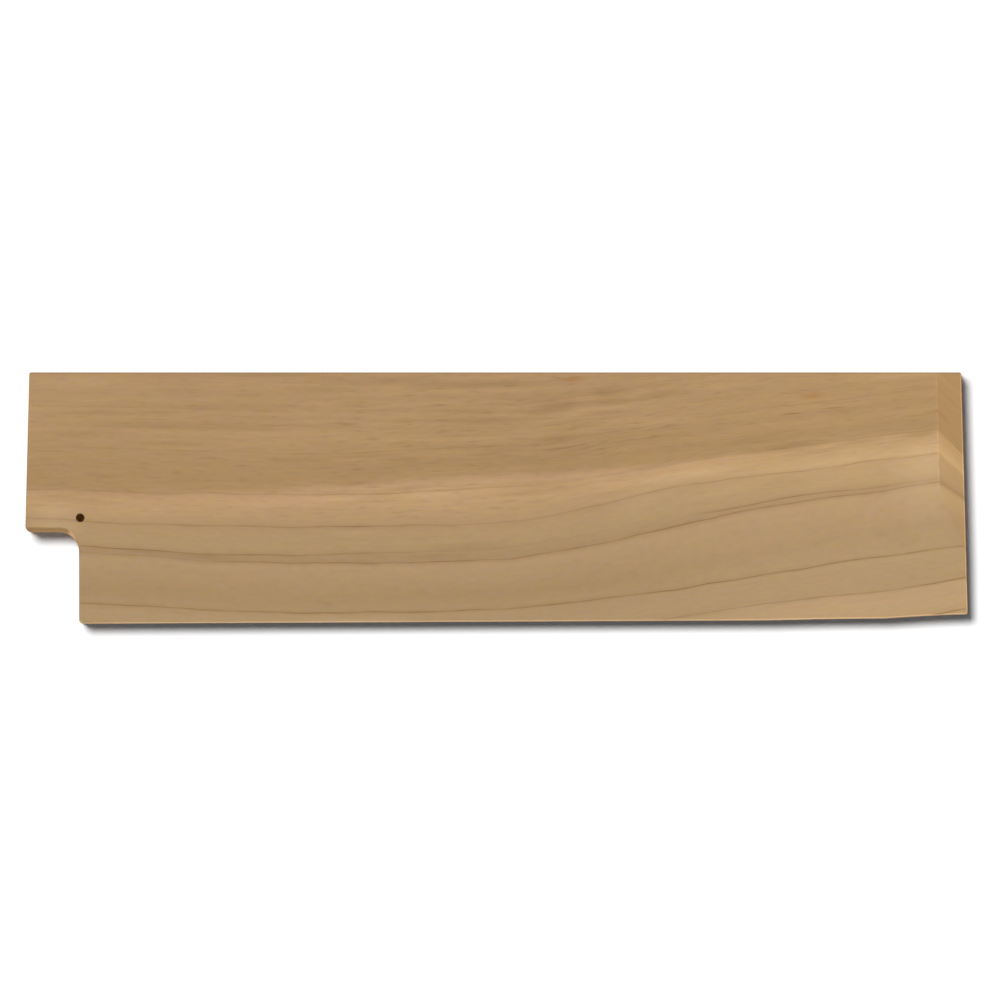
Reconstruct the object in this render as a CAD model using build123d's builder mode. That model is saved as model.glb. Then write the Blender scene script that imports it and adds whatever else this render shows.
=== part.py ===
"""Wooden guard for a straight-edged vegetable knife, in millimetres.

Two boards are carved with half of a blade-shaped pocket each and glued face to face. A tapered
peg crosses the mouth behind the blade's heel and locks the knife in.

The guard lies on its back board. +X runs from the mouth to the tip, +Y from the cutting edge to
the spine, and +Z up through the thickness. The origin is on the table, under the middle of the
guard's outline.
"""

import os
from math import asin, atan2, cos, degrees, radians, sin, tan

from build123d import *

# The knife that the guard is cut for
blade_length = 180.0  # heel to tip along the cutting edge
blade_height = 44.0  # cutting edge to spine at the heel
blade_thickness = 3.8  # at the spine
blade_belly_length = 30.0  # curved part of the edge, next to the tip
blade_bevel_height = 17.0  # from the cutting edge up to where the blade starts to thin

# Room for it in the pocket
heel_play = 0.3
tip_play = 3.5
spine_play = 0.4
edge_play = 0.4
side_play = 0.35

# Wood left round the pocket
spine_wall = 5.4
edge_wall = 5.0
tip_wall = 10.1
face_wall = 5.35

# Mouth, where the boards run on past the heel to cover the knife's neck
neck_cover = 11.8  # mouth to heel step
collar_height = 35.1  # spine side to the underside of the collar
mouth_lean = 0.9  # the mouth's end leans out by this towards the collar's underside
tip_lean = 1.45  # the tip's end leans out by this towards the cutting edge side
step_radius = 4.3  # inside corner between collar and heel step
collar_corner_radius = 1.4
heel_corner_radius = 0.9
end_corner_radius = 0.45

# Cutting edge side: it rises a little towards the tip, and then curves up in two arcs
edge_rise = 0.75  # from the heel step to the belly
belly_radius = 1100.0
tip_belly_radius = 400.0
gentle_belly_share = 0.85  # of the blade's belly, which has the larger radius

# Planed faces: the flat half next to the spine, the thinned half and the tip bevel
crease_drop_mouth = 29.0  # spine side to the crease, at the mouth
crease_drop_tip = 24.5  # spine side to the crease, at the tip
thinning_angle = 5.2
bevel_width = 5.5
bevel_depth = 1.4
rim_radius = 0.4  # sanded outer edges
collar_bevel = 1.0  # eased edge under the collar, where the thumb pushes

# Pocket floor and the groove that keeps the cutting edge off the wood
floor_angle = 3.4
pocket_corner_radius = 3.0
groove_radius = 1.5
mouth_flare = 0.8  # bevel that leads the blade into the mouth

# Locking peg and its tapered hole
pin_front_diameter = 1.85
pin_back_diameter = 1.55
pin_clearance = 0.04
pin_set_ahead = 0.25  # peg axis ahead of the heel step
pin_rise = 3.2  # peg axis above the collar's underside
pin_front_recess = 0.6
pin_back_recess = 0.3
pin_end_chamfer = 0.2
hole_easing = 0.18  # bevel round the hole at each face

overrun = 20.0  # how far cutting shapes run past the wood

# Sizes that follow from the ones above
pin_reach = pin_front_diameter / 2 + heel_play
pocket_length = pin_set_ahead + pin_reach + blade_length + tip_play
pocket_height = edge_play + blade_height + spine_play
pocket_depth = blade_thickness / 2 + side_play
overall_length = neck_cover + pocket_length + tip_wall
overall_height = edge_wall + pocket_height + spine_wall
board_thickness = pocket_depth + face_wall
overall_thickness = 2 * board_thickness

mouth_x = -overall_length / 2
step_x = mouth_x + neck_cover
pin_x = step_x + pin_set_ahead
belly_x = pin_x + pin_reach + blade_length - blade_belly_length
pocket_end_x = step_x + pocket_length
tip_x = pocket_end_x + tip_wall

edge_y = -overall_height / 2
spine_y = edge_y + overall_height
pocket_edge_y = edge_y + edge_wall
pocket_spine_y = spine_y - spine_wall
collar_y = spine_y - collar_height
pin_y = collar_y + pin_rise
bevel_line_y = pocket_edge_y + edge_play + blade_bevel_height

seam = Plane.XY.offset(board_thickness)


def inwards(slope):
    """Direction into the wood from a stretch of the edge side that has that slope."""
    return Vector(-sin(slope), cos(slope))


# The two arcs of the edge side, each by its centre and the slope at which it starts
edge_slope = atan2(edge_rise, belly_x - step_x)
belly_centre = Vector(belly_x, edge_y + edge_rise) + inwards(edge_slope) * belly_radius
tip_belly_slope = edge_slope + gentle_belly_share * blade_belly_length / belly_radius
tip_belly_centre = belly_centre - inwards(tip_belly_slope) * (belly_radius - tip_belly_radius)


def arc_point(centre, slope, radius):
    """Point of an arc of the edge side where it has that slope."""
    point = centre - inwards(slope) * radius
    return (point.X, point.Y)


def edge_side(start_x, end_x, inset):
    """Draws the edge side from start_x to end_x, moved inset into the wood: a line and two arcs."""
    belly_start = arc_point(belly_centre, edge_slope, belly_radius - inset)
    belly_end = arc_point(belly_centre, tip_belly_slope, belly_radius - inset)
    end_radius = tip_belly_radius - inset
    end_slope = asin((end_x - tip_belly_centre.X) / end_radius)
    drop = (belly_start[0] - start_x) * tan(edge_slope)
    straight = Line((start_x, belly_start[1] - drop), belly_start)
    RadiusArc(belly_start, belly_end, belly_radius - inset)
    end = RadiusArc(belly_end, arc_point(tip_belly_centre, end_slope, end_radius), end_radius)
    return straight, end


def facet(start, end, height, angle):
    """Plane through the line from start to end at that height, falling away on the line's right."""
    along = (Vector(*end) - Vector(*start)).normalized()
    right = along.cross(Vector(0, 0, 1))
    facing = right * sin(radians(angle)) + Vector(0, 0, cos(radians(angle)))
    return Plane(origin=(*start, height), x_dir=along, z_dir=facing)


def pin_radius(height):
    """Radius of the locking peg's taper at that height above the table."""
    growth = (pin_front_diameter - pin_back_diameter) / 2
    return pin_back_diameter / 2 + growth * height / overall_thickness


# Room for half the blade, as a cutting body that stands on the seam
with BuildPart() as half_pocket:
    with BuildSketch(seam) as pocket_outline:
        with BuildLine():
            pocket_edge, pocket_belly = edge_side(mouth_x - overrun, pocket_end_x, edge_wall)
            pocket_end = Line(pocket_belly @ 1, (pocket_end_x, pocket_spine_y))
            pocket_spine = Line(pocket_end @ 1, (mouth_x - overrun, pocket_spine_y))
            Line(pocket_spine @ 1, pocket_edge @ 0)
        make_face()
        for corner in (pocket_end @ 0, pocket_end @ 1):
            fillet(pocket_outline.vertices().sort_by_distance(corner)[0], pocket_corner_radius)
    extrude(amount=pocket_depth)
    bevel_line = [(step_x, bevel_line_y), (belly_x, bevel_line_y + edge_rise)]
    split(
        bisect_by=facet(*bevel_line, board_thickness + pocket_depth, floor_angle),
        keep=Keep.BOTTOM,
    )

# Groove that the cutting edge hangs over, ended by a ball
with BuildPart() as edge_groove:
    with BuildLine(seam) as groove_line:
        groove_start, _ = edge_side(
            mouth_x - overrun, pocket_end_x - pocket_corner_radius, edge_wall
        )
    with BuildSketch(Plane(groove_start @ 0, z_dir=groove_start % 0)):
        Circle(groove_radius)
    sweep()
    with Locations(groove_line.line @ 1):
        Sphere(groove_radius)

# Slanted cut that eases the edge under the collar and fades out in the step's inside corner
with BuildPart() as collar_easing:
    collar_fall = (collar_height - crease_drop_mouth) * tan(radians(thinning_angle))
    cut_y = collar_y - (board_thickness - collar_fall - collar_bevel)
    with BuildSketch(seam):
        with BuildLine():
            under_collar = Line((mouth_x - overrun, cut_y), (step_x - step_radius, cut_y))
            inside_corner = JernArc(under_collar @ 1, under_collar % 1, step_radius, -90)
            Polyline(inside_corner @ 1, (mouth_x - overrun, cut_y - step_radius), under_collar @ 0)
        make_face()
    extrude(amount=overrun, dir=(0, 1, 1))

# One board, front side up
with BuildPart() as board:
    with BuildSketch(seam) as board_outline:
        with BuildLine():
            edge_line, tip_belly = edge_side(step_x, tip_x, 0)
            tip_end = Line(tip_belly @ 1, (tip_x - tip_lean, spine_y))
            spine_side = Line(tip_end @ 1, (mouth_x + mouth_lean, spine_y))
            mouth_end = Line(spine_side @ 1, (mouth_x, collar_y))
            collar_underside = Line(mouth_end @ 1, (step_x, collar_y))
            heel_step = Line(collar_underside @ 1, edge_line @ 0)
        make_face()
        corner_radii = [
            (heel_step @ 0, step_radius),
            (mouth_end @ 1, collar_corner_radius),
            (edge_line @ 0, heel_corner_radius),
            (tip_belly @ 1, end_corner_radius),
            (tip_end @ 1, end_corner_radius),
            (spine_side @ 1, end_corner_radius),
        ]
        for corner, radius in corner_radii:
            fillet(board_outline.vertices().sort_by_distance(corner)[0], radius)
    extrude(amount=board_thickness)

    crease = [(mouth_x, spine_y - crease_drop_mouth), (tip_x, spine_y - crease_drop_tip)]
    split(bisect_by=facet(*crease, overall_thickness, thinning_angle), keep=Keep.BOTTOM)
    bevel_foot = [(tip_x - bevel_width, edge_y), (tip_x - tip_lean - bevel_width, spine_y)]
    bevel_angle = degrees(atan2(bevel_depth, bevel_width))
    split(bisect_by=facet(*bevel_foot, overall_thickness, bevel_angle), keep=Keep.BOTTOM)

    sides = board.faces().filter_by(lambda face: abs(face.normal_at().Z) < rim_radius)
    lying = sides.edges().filter_by(Axis.Z, reverse=True)
    rim = lying.filter_by(lambda edge: edge.center().Z > board_thickness + rim_radius)
    fillet(rim, rim_radius)
    add(collar_easing.part, mode=Mode.SUBTRACT)

    add(half_pocket.part, mode=Mode.SUBTRACT)
    add(edge_groove.part, mode=Mode.SUBTRACT)

    mouth = board.edges().filter_by(lambda edge: edge.center().X < step_x + groove_radius)
    inner = mouth.filter_by(
        lambda edge: groove_radius < edge.center().Z - board_thickness < pocket_depth + rim_radius
    )
    chamfer(inner.filter_by(Axis.Z, reverse=True), mouth_flare)

# The peg's tapered hole, eased at both faces
with BuildPart(Plane((pin_x, pin_y, 0))) as pin_hole:
    hole_back_radius = pin_radius(0) + pin_clearance
    hole_front_radius = pin_radius(overall_thickness) + pin_clearance
    upright = (Align.CENTER, Align.CENTER, Align.MIN)
    Cone(hole_back_radius, hole_front_radius, overall_thickness, align=upright)
    Cone(hole_back_radius + hole_easing, hole_back_radius, hole_easing, align=upright)
    with Locations((0, 0, overall_thickness - hole_easing)):
        Cone(hole_front_radius, hole_front_radius + hole_easing, hole_easing, align=upright)

with BuildPart() as front_half:
    add(board.part)
    add(pin_hole.part, mode=Mode.SUBTRACT)

with BuildPart() as back_half:
    mirror(board.part, about=seam)
    add(pin_hole.part, mode=Mode.SUBTRACT)

# Smoked bamboo peg, pushed in from the front until its taper binds
pin_top = overall_thickness - pin_front_recess
with BuildPart(Plane((pin_x, pin_y, pin_back_recess))) as locking_pin:
    pin_length = pin_top - pin_back_recess
    Cone(pin_radius(pin_back_recess), pin_radius(pin_top), pin_length, align=upright)
    chamfer(locking_pin.edges().filter_by(GeomType.CIRCLE), pin_end_chamfer)

os.makedirs("parts", exist_ok=True)
pieces = {"front_half": front_half, "back_half": back_half, "locking_pin": locking_pin}
for name, piece in pieces.items():
    piece.part.label = name
    export_step(piece.part, f"parts/{name}.step")

boards = front_half.part.center() * front_half.part.volume
boards += back_half.part.center() * back_half.part.volume
middle = boards / (front_half.part.volume + back_half.part.volume)
print("overall", overall_length, overall_height, overall_thickness)
print("centre of mass of the boards", middle)
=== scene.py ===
"""Finishes the wooden knife sheath: magnolia boards, a smoked bamboo peg and a white studio.

Lengths are in metres unless a name or a description says millimetres. +X runs from the mouth to
the tip, +Y from the cutting edge side to the spine side, and +Z up through the thickness.
"""

import math

import bmesh
import bpy
from bpy.props import FloatProperty, FloatVectorProperty, PointerProperty
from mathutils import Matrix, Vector


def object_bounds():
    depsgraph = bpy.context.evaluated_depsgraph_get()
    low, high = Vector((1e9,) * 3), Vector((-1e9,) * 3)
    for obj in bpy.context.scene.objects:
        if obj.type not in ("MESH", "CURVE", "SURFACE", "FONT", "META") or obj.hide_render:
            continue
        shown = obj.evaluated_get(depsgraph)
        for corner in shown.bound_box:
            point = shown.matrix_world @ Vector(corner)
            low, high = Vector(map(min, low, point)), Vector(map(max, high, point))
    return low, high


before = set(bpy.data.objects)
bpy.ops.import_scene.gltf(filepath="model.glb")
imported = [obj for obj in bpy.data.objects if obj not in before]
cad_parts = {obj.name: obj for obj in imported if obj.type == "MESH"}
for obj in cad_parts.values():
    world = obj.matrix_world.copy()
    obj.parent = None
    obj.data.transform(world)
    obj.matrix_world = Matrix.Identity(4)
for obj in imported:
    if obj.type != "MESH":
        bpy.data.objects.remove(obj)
CAD_LOW, CAD_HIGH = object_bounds()

bl_info = {
    "name": "Wooden knife sheath",
    "version": (1, 0, 0),
    "blender": (4, 5, 0),
    "location": "View3D > Sidebar > Sheath",
    "description": "Finishes a magnolia sheath for a vegetable knife and sets up its studio",
    "category": "Object",
}

MM = 0.001


def linear(hex_colour):
    """Turns an sRGB hex value such as B0926B to linear red, green and blue."""
    parts = [int(hex_colour[i : i + 2], 16) / 255 for i in (0, 2, 4)]
    return tuple(c / 12.92 if c <= 0.04045 else ((c + 0.055) / 1.055) ** 2.4 for c in parts)


def add_node(tree, kind, inputs=(), points=(), **settings):
    """Adds a node, sets it up, fills or links its inputs, and places its stops or curve points."""
    node = tree.nodes.new("ShaderNode" + kind)
    for name, value in settings.items():
        setattr(node, name, value)
    for key, value in inputs.items() if isinstance(inputs, dict) else enumerate(inputs):
        if isinstance(value, bpy.types.Node):
            value = next(socket for socket in value.outputs if socket.enabled)
        if isinstance(value, bpy.types.NodeSocket):
            tree.links.new(value, node.inputs[key])
        else:
            node.inputs[key].default_value = value
    if points and kind == "ValToRGB":
        stops = node.color_ramp.elements
        while len(stops) < len(points):
            stops.new(1.0)
        for stop, (place, colour) in zip(stops, points):
            stop.position = place
            stop.color = (*colour, 1.0)
    elif points:
        curve = node.mapping.curves[0]
        while len(curve.points) < len(points):
            curve.points.new(1.0, 1.0)
        for point, place in zip(curve.points, points):
            point.location = place
        node.mapping.update()
    return node


def new_material(name):
    """Returns an empty node material and its tree."""
    material = bpy.data.materials.new(name)
    material.use_nodes = True
    material.node_tree.nodes.clear()
    return material, material.node_tree


# The wood's growth lines where they cross the front face, from the spine side to the edge side, in
# millimetres from the sheath's middle: each line's course as (place along, height), and how dark
# it is as (place along, darkness)
GROWTH_LINES = {
    "boundary": {
        "course": [
            (-103, 2.0), (-70, 1.3), (-45, 0.6), (-26, 0.9), (-10, 1.9), (10, 2.8), (25, 5.0),
            (45, 8.5), (60, 10.6), (80, 13.1), (103, 16.2),
        ],
        "darkness": [(-103, 0.25), (-60, 0.2), (-32, 0.35), (-10, 0.25), (42, 0.15), (103, 0.3)],
    },
    "second": {
        "course": [
            (-103, -4.3), (-80, -5.5), (-60, -6.1), (-25, -6.1), (5, -5.0), (20, -2.2), (40, 2.6),
            (55, 4.7), (80, 7.8), (103, 11.0),
        ],
        "darkness": [(-103, 0.33), (-52, 0.33), (-32, 0.44), (-10, 0.22), (40, 0.29), (103, 0.24)],
    },
    "third": {
        "course": [
            (-103, -11.3), (-85, -12.2), (-62, -13.8), (-42, -14.3), (-25, -14.0), (-8, -13.7),
            (5, -12.9), (16, -11.3), (27, -8.9), (40, -6.1), (54, -2.8), (70, -0.3), (85, 1.7),
            (103, 4.9),
        ],
        "darkness": [
            (-103, 0.2), (-85, 0.22), (-60, 0.31), (-12, 0.47), (50, 0.5), (72, 0.4), (103, 0.35),
        ],
    },
    "fourth": {
        "course": [
            (-103, -22.6), (-75, -23.7), (-55, -24.8), (-35, -25.1), (-5, -24.6), (15, -23.1),
            (32, -21.1), (60, -16.7), (85, -12.8), (103, -10.7),
        ],
        "darkness": [(-103, 0.37), (-64, 0.5), (-20, 0.6), (15, 0.48), (40, 0.55), (103, 0.52)],
    },
    "fifth": {
        "course": [
            (-103, -30.0), (-42, -32.0), (10, -30.3), (38, -26.5), (60, -23.2), (85, -20.2),
            (103, -17.4),
        ],
        "darkness": [(-103, 0.5), (10, 0.4), (70, 0.37), (103, 0.65)],
    },
}
# A second strand runs just above the third line, and comes and goes
STRAND = {
    "course": [
        (-103, -10.0), (-85, -10.9), (-65, -12.3), (-45, -12.6), (-28, -12.0), (0, -11.0),
        (20, -8.2), (40, -4.0), (52, -2.2), (58, -1.0), (68, 0.8), (80, 2.0), (103, 5.4),
    ],
    "darkness": [
        (-103, 0.5), (-82, 0.5), (-60, 0.42), (-30, 0.27), (-14, 0.15), (10, 0.1), (23, 0.0),
        (40, 0.0), (52, 0.55), (72, 0.38), (88, 0.2), (103, 0.15),
    ],
}
# Mean ring width on both sides of each growth line, in millimetres, and the lines that only the
# sides and the back show: (ring, darkness)
LINE_RING_WIDTHS = (7.2, 7.0, 10.0, 9.7, 6.8)
OTHER_LINES = [(-2.3, 0.1), (-1.15, 0.12), (5.0, 0.45)]
# How far the pale sapwood reaches above the boundary line, in millimetres along the sheath
PALE_REACH = [
    (-103, 0.0), (-66, 0.0), (-50, 0.6), (-36, 1.7), (-20, 2.3), (0, 2.4), (15, 2.0), (25, 1.3),
    (35, 0.3), (45, 0.0), (103, 0.0),
]
# Colour of the wood across the rings: 0 is the boundary line, and rings count towards the edge
RINGS_MOUTH = [
    (-3.4, "AE8C64"), (-1.6, "B18F66"), (-0.3, "A8875D"), (-0.1, "AA895F"), (0.06, "BA9670"),
    (0.25, "BF9B71"), (0.6, "B9976E"), (1.0, "B0906A"), (1.6, "B0926A"), (1.95, "A88965"),
    (2.1, "B2936E"), (2.7, "A88A63"), (3.2, "AD916C"), (5.6, "AE8E68"),
]
RINGS_TIP = [
    (-3.4, "B29066"), (-0.5, "B18E63"), (-0.1, "AE8D62"), (0.1, "BF9B6F"), (0.85, "C8A578"),
    (1.05, "C09E73"), (1.65, "BA996F"), (1.95, "B2926A"), (2.08, "BC9B73"), (2.6, "B1926B"),
    (3.15, "B59770"), (3.9, "B3956E"), (4.1, "BD9D76"), (4.6, "BE9E76"), (5.6, "B29068"),
]
# How lively the fine grain is across the rings: most in the heartwood, least below the second line
LIVELINESS = [(-3.4, 1.0), (0.0, 1.0), (0.6, 0.85), (1.1, 0.4), (4.6, 0.4), (5.6, 1.0)]
# Streaks on the front face, in millimetres: (along, up, half length, half width, darkness)
STREAKS = [
    (-80, 19.9, 9, 0.35, 0.55), (-63, 19.9, 5, 0.3, 0.5), (-49, 16.0, 9, 0.4, 0.7),
    (-33, 16.1, 4, 0.45, 0.9), (-17, 17.1, 7, 0.35, 0.7), (-98, 10.1, 5, 0.25, 0.6),
    (-80, 18.5, 2.5, 0.25, 0.6), (-102, 16.9, 3, 0.25, 0.5), (-63, 8.7, 4, 0.35, 0.6),
    (-75, 4.6, 2, 0.2, 0.6), (-67, 4.1, 2.5, 0.25, 0.5), (-30, 9.3, 14, 0.5, 0.45),
    (-3, 9.6, 7, 0.4, 0.55), (14, 11.2, 9, 0.45, 0.8), (33, 13.0, 12, 0.4, 0.5),
    (2.2, 22.0, 4.6, 0.25, 0.6), (6.4, 13.2, 4, 0.45, 0.4), (24.5, 15.0, 4, 0.25, 0.5),
    (18.7, 20.1, 3.5, 0.3, 0.5), (38, 15.5, 6, 0.5, 0.4), (74, 19.8, 4, 0.35, 0.9),
    (65, 18.4, 3, 0.3, 0.6), (90, 21.8, 5, 0.25, 0.5), (92, 18.1, 4, 0.3, 0.55),
    (-22, 26.0, 14, 0.4, 0.4), (-8, 13.8, 9, 0.5, 0.3), (-84, 0.6, 36, 1.9, 0.5),
    (-36, 25.4, 20, 1.4, 0.4), (12, 22.0, 22, 2.0, 0.45), (-8, 17.9, 12, 1.2, 0.45),
    (-70, 16.2, 34, 1.1, 0.4), (56, 12.2, 12, 1.6, 0.35), (64, 3.6, 12, 1.6, 0.25),
    (14, 20.4, 10, 1.5, 0.8), (24, 23.2, 8, 2.0, 0.7), (-6, 19.2, 12, 1.4, 0.6),
    (-66, 15.6, 36, 1.3, 0.6), (64, 11.4, 11, 1.6, 0.65), (-96, 0.3, 9, 1.2, 0.7),
    (-92, 14.2, 16, 1.6, 0.5), (18, 15.6, 7, 1.0, 0.5), (93, 14.2, 5, 1.0, 0.6),
    (24, 21.2, 9, 1.4, 0.7), (10, 19.3, 12, 1.2, 0.7), (35, 22.6, 8, 1.4, 0.55),
    (-4, 17.1, 20, 1.3, 0.75), (-38, 15.6, 10, 0.9, 0.5), (-66, 20.0, 38, 1.4, 0.5),
    (13, 13.3, 7, 1.2, 0.75), (1, 10.4, 7, 0.8, 0.5), (-20, 8.6, 7, 0.8, 0.5),
    (10, 1.8, 14, 1.2, 0.45), (-21, 2.0, 7, 0.7, 0.4), (79, 12.2, 6, 0.8, 0.5),
    (97, 19.3, 4, 0.9, 0.5), (-90, -0.4, 12, 1.2, 0.6), (-76, -12.0, 7, 0.8, 0.4),
    (-2, 24.8, 22, 1.1, 0.55), (-6, -10.4, 12, 1.2, 0.45), (-45, 27.0, 22, 0.9, 0.4),
    (-38, 24.0, 12, 1.0, 0.45), (-31, 20.4, 8, 1.0, 0.45), (-20, 11.9, 7, 0.9, 0.45),
    (-88, 18.9, 14, 0.9, 0.5), (-70, 11.9, 12, 0.9, 0.45), (-44, 8.4, 10, 0.9, 0.5),
    (-86, 4.9, 6, 0.8, 0.45), (-31, 3.1, 7, 0.8, 0.45), (68, 10.1, 11, 1.0, 0.45),
    (-64, -12.9, 9, 0.7, 0.5), (-14, -12.6, 9, 0.7, 0.4), (24, 18.8, 6, 0.9, 0.55),
    (7, 3.2, 12, 0.8, 0.5), (-20, 17.1, 6, 0.9, 0.5), (35, 24.5, 6, 0.9, 0.5),
    (-75, 18.8, 6, 0.8, 0.5), (-88, -27.3, 9, 0.6, 1.0),
]
# Reddish gum flecks and pale patches on the front face, told in the same way
FLECKS = [(16.5, 26.2, 4.2, 0.75, 0.7), (69.4, 22.7, 3.6, 1.6, 0.5), (64.5, 18.4, 3, 0.3, 0.8)]
PALE_PATCHES = [
    (-97, -6.1, 8, 2.2, 1.0), (-97, -3.6, 7, 3.0, 0.9), (41, 4.8, 14, 2.0, 0.9),
    (95, 6.0, 10, 9.0, 1.0), (-76, 2.0, 5, 0.8, 0.3), (-92, 25.6, 14, 2.2, 0.5),
    (90, 27.0, 16, 1.4, 0.7), (-14, 0.6, 10, 1.4, 0.5), (-34, -0.4, 7, 1.2, 0.4),
    (40, 17.0, 9, 1.6, 0.4), (32, 0.5, 12, 5.0, 0.3), (-30, -26.6, 16, 1.0, 0.5),
    (50, 1.4, 9, 1.2, 0.3), (-31, -7.6, 7, 0.9, 0.45), (57, -25.3, 6, 0.9, 0.45),
]
# How much darker the tip bevel is across the rings
DEEP_RINGS = [(-3.4, 0.0), (1.0, 0.0), (1.1, 1.0), (1.95, 1.0), (2.2, 0.0), (5.6, 0.0)]
# How lively the grain is along the sheath
LIVELY_ALONG = [(-103, 0.75), (-50, 0.78), (-32, 1.1), (20, 1.12), (36, 0.95), (103, 0.95)]
# The ring numbers that the colours cover, and the heights that a course's curve can hold
RING_COUNT_RANGE = (-3.4, 5.6)
COURSE_SPAN_MM = 60.0
# The grain keeps this share of its slope this far above the boundary line
SPINE_FOLLOW = 0.45
FOLLOW_FADE_MM = 18.0
# The grain's noises: millimetres along the grain, across it and in depth, and the detail
GRAIN = {
    "line patches": (7.0, 3.0, 5.0, 1.0),
    "weave": (2.2, 0.7, 0.7, 3.0),
    "dashes": (3.6, 0.6, 0.8, 0.0),
    "streaks": (60.0, 2.6, 5.0, 2.0),
    "blotches": (9.0, 1.8, 4.0, 1.0),
    "threads": (16.0, 0.45, 0.8, 1.0),
    "hues": (6.0, 2.5, 4.0, 2.0),
    "fibres": (2.0, 0.6, 0.6, 0.0),
}
GRAIN_ROUGHNESS = 0.55
# The part of a noise's values that is spread from nothing to all: a narrow one gives hard edges
NOISE_SPAN = (0.3, 0.7)
SWAY_SPAN = (0.25, 0.75)
WEAR_SPAN = (0.4, 0.6)
RAY_SPAN = (0.42, 0.62)
BUNDLE_SPAN = (0.35, 0.65)
BUNDLE_NOISE = {"Detail": 3.0, "Roughness": 0.6}
# Where a bundle's dot starts to fade at a cut end, and where it ends, in spacings
DOT_FADE = (0.15, 0.45)
# How much weaker and stronger a growth line gets from patch to patch, and the share of an oval
# mark that has its full strength
LINE_PATCHES = (0.72, 1.48)
MARK_CORE = 0.2
# The rims' share by how far a face looks up or down, between side faces and flat ones
RIM_FACING = [(0.0, 0.0), (0.15, 0.0), (0.35, 1.0), (0.86, 1.0), (0.94, 0.0), (1.0, 0.0)]
# How much of its normal a face turns one way where each kind of face starts, and where it is full
ON_BEVEL = (0.12, 0.24)
OFF_SIDE = (0.15, 0.35)
EDGE_RIM = (-0.12, -0.3)
TIP_RIM = (0.28, 0.4)
SPINE_RIM = (0.08, 0.3)
SPINE_SIDE = (0.2, 0.6)
SQUARE_CUT = (0.6, 0.9)
NEARLY_ALL = (0.9, 0.96)
IN_POCKET = (0.5, 1.0)
PEG_END = (0.75, 0.9)
# Millimetres under the collar where the painted shade on its eased edge ends, and from the middle of
# the worn ridge at the bevel's foot
EASED_DEPTHS_MM = (3.0, 2.0)
RIDGE_HALF_WIDTHS_MM = (0.1, 0.3)
# Strength of the bumps: sanded fibres, the gouge's tracks and scraped bamboo
SANDED_BUMP = 0.25
TRACK_BUMP = 0.8
SCRAPED_BUMP = 0.4
# Bare wood is nearly matt: fine sanding leaves a little sheen, and smoke and scraping leave less
SANDED_FINISH = {"Roughness": 0.75, "Specular IOR Level": 0.15}
SCRAPED_FINISH = {"Roughness": 0.85, "Specular IOR Level": 0.04}
# The paper reaches this far each way, and lies this far under the boards
PAPER_REACH = 6.0
PAPER_GAP = 0.05 * MM


def along_share(x):
    """Turns a place along the sheath in millimetres to a share of its length."""
    return (x * MM - CAD_LOW.x) / (CAD_HIGH.x - CAD_LOW.x)


def ring_share(ring):
    """Turns a ring number to a share of the counted range."""
    low, high = RING_COUNT_RANGE
    return (ring - low) / (high - low)


def flow_height(x, height):
    """Gives a point of the front face its height in the grain, which runs with the lines."""
    levels = []
    for line in GROWTH_LINES.values():
        for (start, low), (end, high) in zip(line["course"], line["course"][1:]):
            if start <= x <= end:
                level = low + (high - low) * (x - start) / (end - start)
        levels.append(level)
    above = max(height - levels[0], 0.0)
    fade = (1 - SPINE_FOLLOW) * min(above / FOLLOW_FADE_MM, 1.0)
    steps = [(upper - height) / (upper - lower) for upper, lower in zip(levels, levels[1:])]
    rings = sum(min(max(step, 0.0), 1.0) for step in steps)
    return above + fade * levels[0] - rings * bpy.context.scene.sheath_wood.ring_below


def ring_height(tree, wood, mm, place, kerf):
    """Gives the drop below the crease, and the height at which a point's ring meets the face."""
    x, y, z = place
    creases = (wood.crease_mouth / MM, wood.crease_tip / MM)
    crease = add_node(tree, "MapRange", [x, CAD_LOW.x / MM, CAD_HIGH.x / MM, *creases])
    below = add_node(tree, "Math", [crease, y], operation="SUBTRACT")
    below = add_node(tree, "Math", [below, 0.0], operation="MAXIMUM")
    fall = [below, -math.tan(wood.thinning), CAD_HIGH.z / MM]
    face = add_node(tree, "Math", fall, operation="MULTIPLY_ADD")
    depth = add_node(tree, "Math", [face, z], operation="SUBTRACT")
    height = add_node(tree, "Math", [depth, wood.ring_slope, y], operation="MULTIPLY_ADD")

    # Rings sway a little on their way
    sway_scale = [1 / wood.sway_length, 1 / wood.sway_width, 1 / wood.sway_width]
    sway = add_node(tree, "VectorMath", [mm, sway_scale], operation="MULTIPLY")
    sway = add_node(tree, "TexNoise", {"Vector": sway, "Scale": 1.0, "Detail": 1.0})
    sway = add_node(tree, "MapRange", [sway, *SWAY_SPAN, kerf - wood.sway, kerf + wood.sway])
    return below, add_node(tree, "Math", [height, sway], operation="ADD")


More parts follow.
